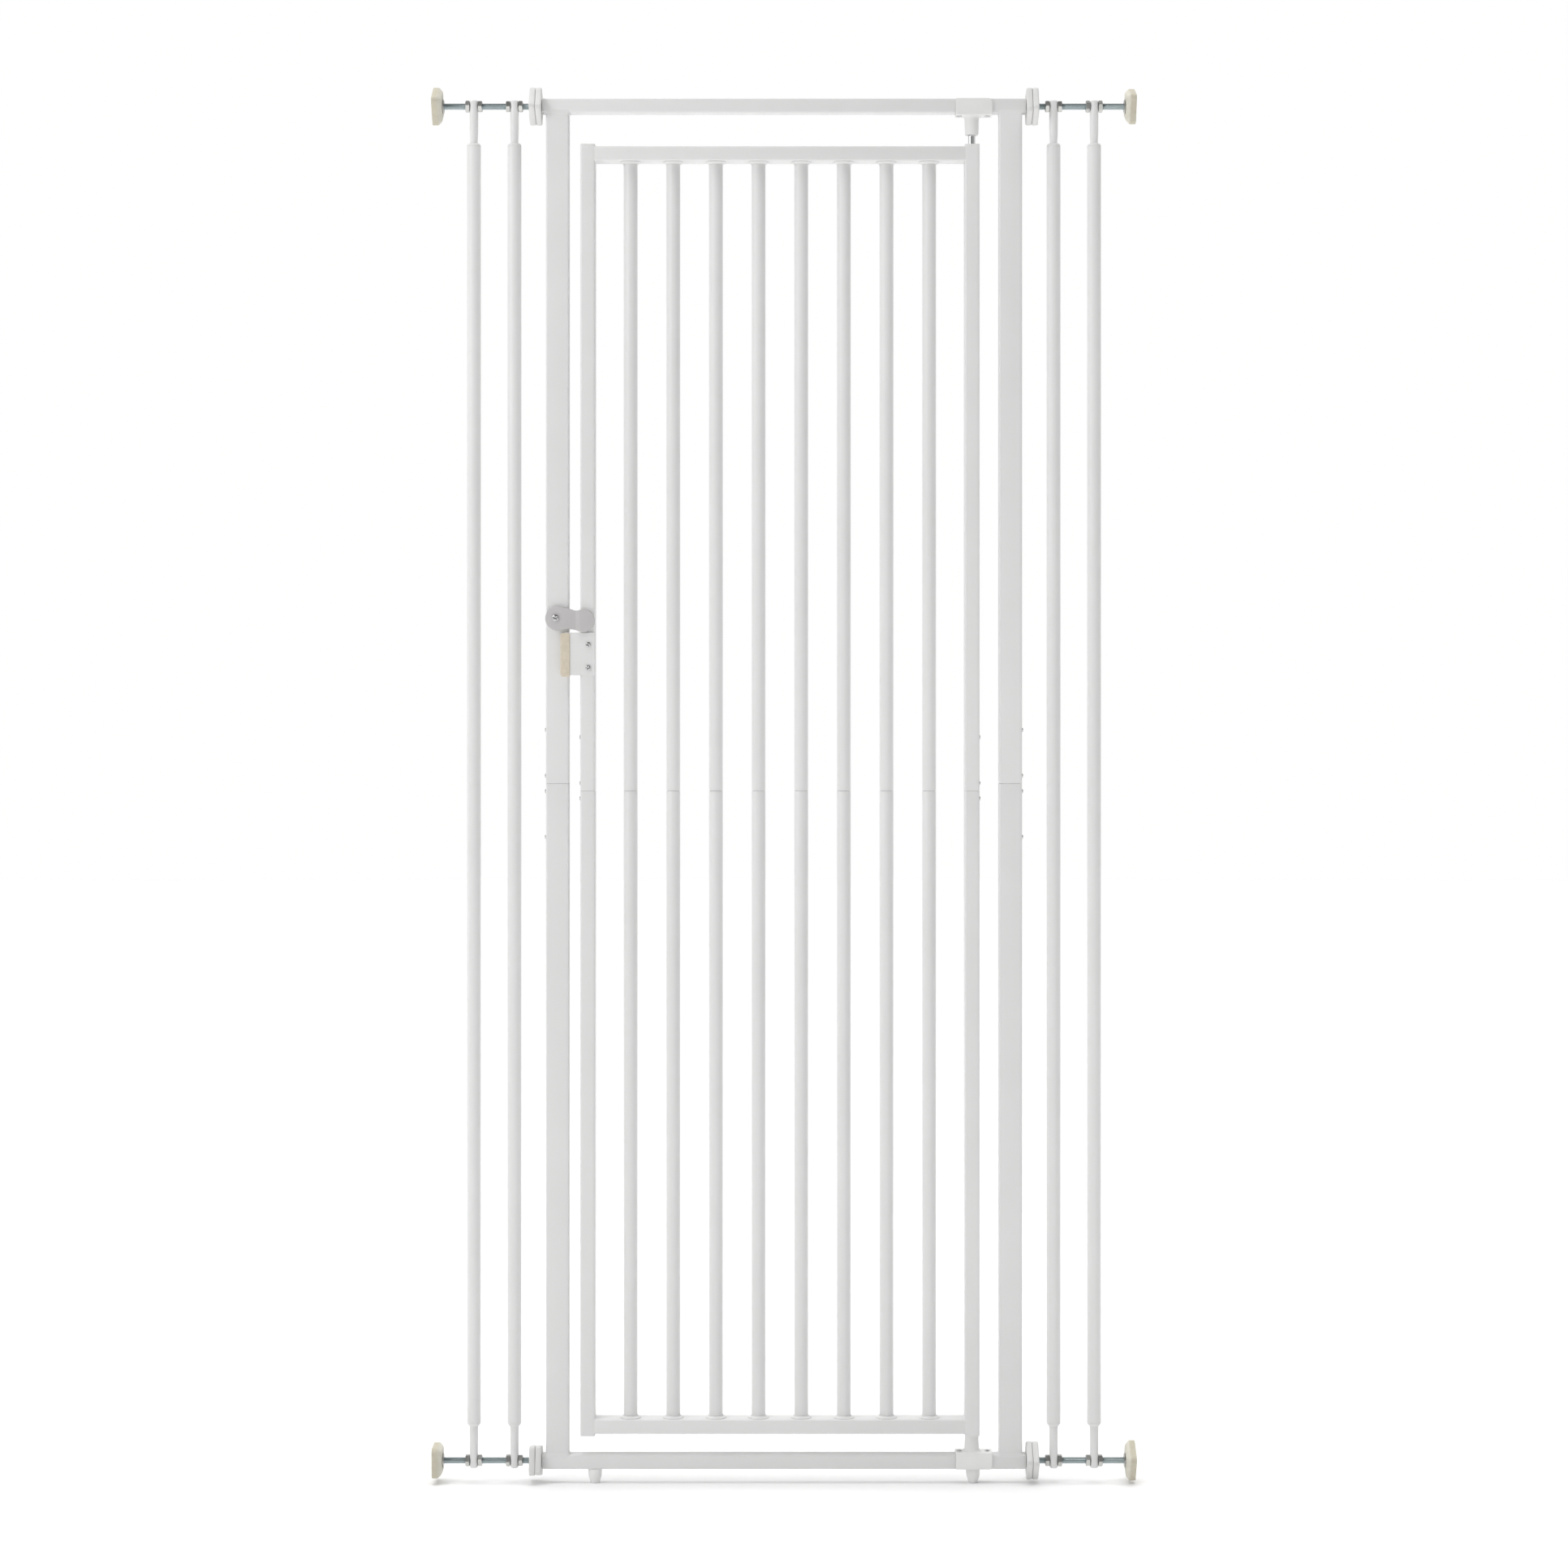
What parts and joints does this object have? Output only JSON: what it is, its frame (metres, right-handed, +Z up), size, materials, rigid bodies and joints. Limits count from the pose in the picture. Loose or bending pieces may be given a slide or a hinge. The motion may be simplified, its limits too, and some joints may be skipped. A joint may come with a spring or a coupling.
{
  "type": "baby gate",
  "caption": "Tall pressure-fit walk-through safety gate with vertical bars, a hinged door, a turning latch, screw-out wall pads and side extension bars.",
  "frame": {"origin": "on the floor, midway between the two walls and midway through the gate's depth", "axes": "+X across the doorway towards the hinged side, +Y away from the side the door opens to, +Z up"},
  "size_m": [0.866, 0.0478, 1.7209],
  "materials": {
    "white_enamel": "satin white powder coat",
    "white_plastic": "white moulded plastic, soft sheen",
    "grey_plastic": "light grey moulded plastic",
    "cream_rubber": "cream moulded rubber",
    "beige_rubber": "beige moulded rubber",
    "zinc_steel": "bluish zinc plating",
    "bright_pin": "bright plated steel"
  },
  "bodies": {
    "frame": {"top_rail": "white_enamel", "bottom_rail": "white_enamel", "post_left_upper": "white_enamel", "post_left_lower": "white_enamel", "post_right_upper": "white_enamel", "post_right_lower": "white_enamel", "post_joiner_left": "zinc_steel", "post_joiner_right": "zinc_steel", "rail_bush_top_left": "white_plastic", "rail_bush_top_right": "white_plastic", "rail_bush_bottom_left": "white_plastic", "rail_bush_bottom_right": "white_plastic", "foot_left": "white_plastic", "foot_right": "white_plastic", "hinge_bracket_upper": "white_plastic", "hinge_bracket_lower": "white_plastic", "latch_pivot_screw": "zinc_steel"},
    "door": {"door_stile_latch_upper": "white_enamel", "door_stile_latch_lower": "white_enamel", "stile_joiner_latch": "zinc_steel", "door_stile_hinge_upper": "white_enamel", "door_stile_hinge_lower": "white_enamel", "stile_joiner_hinge": "zinc_steel", "door_top_rail": "white_enamel", "door_bottom_rail": "white_enamel", "door_bar_1": "white_enamel", "door_bar_2": "white_enamel", "door_bar_3": "white_enamel", "door_bar_4": "white_enamel", "door_bar_5": "white_enamel", "door_bar_6": "white_enamel", "door_bar_7": "white_enamel", "door_bar_8": "white_enamel", "hinge_pin_upper": "bright_pin", "hinge_pin_lower": "bright_pin", "stop_plate": "white_enamel", "stop_buffer": "beige_rubber", "stop_screw_upper": "zinc_steel", "stop_screw_lower": "zinc_steel"},
    "latch": {"latch_lever": "grey_plastic"},
    "left_extension": {"threaded_rod_top_left": "zinc_steel", "threaded_rod_bottom_left": "zinc_steel", "extension_bar_inner_left": "white_enamel", "extension_bar_outer_left": "white_enamel"},
    "right_extension": {"threaded_rod_top_right": "zinc_steel", "threaded_rod_bottom_right": "zinc_steel", "extension_bar_inner_right": "white_enamel", "extension_bar_outer_right": "white_enamel"},
    "adjusting_wheel_top_left": {"adjusting_wheel_top_left": "white_plastic"},
    "lock_wheel_top_left": {"lock_wheel_top_left": "white_plastic"},
    "wall_pad_top_left": {"wall_pad_top_left": "cream_rubber"},
    "adjusting_wheel_top_right": {"adjusting_wheel_top_right": "white_plastic"},
    "lock_wheel_top_right": {"lock_wheel_top_right": "white_plastic"},
    "wall_pad_top_right": {"wall_pad_top_right": "cream_rubber"},
    "adjusting_wheel_bottom_left": {"adjusting_wheel_bottom_left": "white_plastic"},
    "lock_wheel_bottom_left": {"lock_wheel_bottom_left": "white_plastic"},
    "wall_pad_bottom_left": {"wall_pad_bottom_left": "cream_rubber"},
    "adjusting_wheel_bottom_right": {"adjusting_wheel_bottom_right": "white_plastic"},
    "lock_wheel_bottom_right": {"lock_wheel_bottom_right": "white_plastic"},
    "wall_pad_bottom_right": {"wall_pad_bottom_right": "cream_rubber"}
  },
  "joints": [
    {"name": "door_swing", "type": "hinge", "parent": "frame", "child": "door", "pos_m": [0.2315, 0, 0.8543], "axis": [0, 0, 1], "range_deg": [0, 110]},
    {"name": "latch_turn", "type": "hinge", "parent": "frame", "child": "latch", "pos_m": [-0.281, -0.0117, 1.066], "axis": [0, -1, 0], "range_deg": [0, 100]},
    {"name": "left_extension_slide", "type": "slide", "parent": "frame", "child": "left_extension", "axis": [-1, 0, 0], "range_m": [-0.005, 0.03]},
    {"name": "left_top_wheel_turn", "type": "hinge", "parent": "frame", "child": "adjusting_wheel_top_left", "pos_m": [-0.30205, 0, 1.697], "axis": [-1, 0, 0], "range_deg": [-8641, 1441]},
    {"name": "left_top_lock_turn", "type": "hinge", "parent": "frame", "child": "lock_wheel_top_left", "pos_m": [-0.30985, 0, 1.697], "axis": [-1, 0, 0], "range_deg": [-8641, 1441]},
    {"name": "left_top_pad_swivel", "type": "hinge", "parent": "left_extension", "child": "wall_pad_top_left", "pos_m": [-0.427, 0, 1.697], "axis": [-1, 0, 0], "continuous": true},
    {"name": "left_bottom_wheel_turn", "type": "hinge", "parent": "frame", "child": "adjusting_wheel_bottom_left", "pos_m": [-0.30205, 0, 0.027], "axis": [-1, 0, 0], "range_deg": [-8641, 1441]},
    {"name": "left_bottom_lock_turn", "type": "hinge", "parent": "frame", "child": "lock_wheel_bottom_left", "pos_m": [-0.30985, 0, 0.027], "axis": [-1, 0, 0], "range_deg": [-8641, 1441]},
    {"name": "left_bottom_pad_swivel", "type": "hinge", "parent": "left_extension", "child": "wall_pad_bottom_left", "pos_m": [-0.427, 0, 0.027], "axis": [-1, 0, 0], "continuous": true},
    {"name": "right_extension_slide", "type": "slide", "parent": "frame", "child": "right_extension", "axis": [1, 0, 0], "range_m": [-0.005, 0.03]},
    {"name": "right_top_wheel_turn", "type": "hinge", "parent": "frame", "child": "adjusting_wheel_top_right", "pos_m": [0.30205, 0, 1.697], "axis": [1, 0, 0], "range_deg": [-8641, 1441]},
    {"name": "right_top_lock_turn", "type": "hinge", "parent": "frame", "child": "lock_wheel_top_right", "pos_m": [0.30985, 0, 1.697], "axis": [1, 0, 0], "range_deg": [-8641, 1441]},
    {"name": "right_top_pad_swivel", "type": "hinge", "parent": "right_extension", "child": "wall_pad_top_right", "pos_m": [0.427, 0, 1.697], "axis": [1, 0, 0], "continuous": true},
    {"name": "right_bottom_wheel_turn", "type": "hinge", "parent": "frame", "child": "adjusting_wheel_bottom_right", "pos_m": [0.30205, 0, 0.027], "axis": [1, 0, 0], "range_deg": [-8641, 1441]},
    {"name": "right_bottom_lock_turn", "type": "hinge", "parent": "frame", "child": "lock_wheel_bottom_right", "pos_m": [0.30985, 0, 0.027], "axis": [1, 0, 0], "range_deg": [-8641, 1441]},
    {"name": "right_bottom_pad_swivel", "type": "hinge", "parent": "right_extension", "child": "wall_pad_bottom_right", "pos_m": [0.427, 0, 0.027], "axis": [1, 0, 0], "continuous": true}
  ],
  "couplings": [
    {"joint": "left_top_wheel_turn", "follows": "left_extension_slide", "rad_per_m": -5026.5},
    {"joint": "left_top_lock_turn", "follows": "left_extension_slide", "rad_per_m": -5026.5},
    {"joint": "left_bottom_wheel_turn", "follows": "left_extension_slide", "rad_per_m": -5026.5},
    {"joint": "left_bottom_lock_turn", "follows": "left_extension_slide", "rad_per_m": -5026.5},
    {"joint": "right_top_wheel_turn", "follows": "right_extension_slide", "rad_per_m": -5026.5},
    {"joint": "right_top_lock_turn", "follows": "right_extension_slide", "rad_per_m": -5026.5},
    {"joint": "right_bottom_wheel_turn", "follows": "right_extension_slide", "rad_per_m": -5026.5},
    {"joint": "right_bottom_lock_turn", "follows": "right_extension_slide", "rad_per_m": -5026.5}
  ]
}
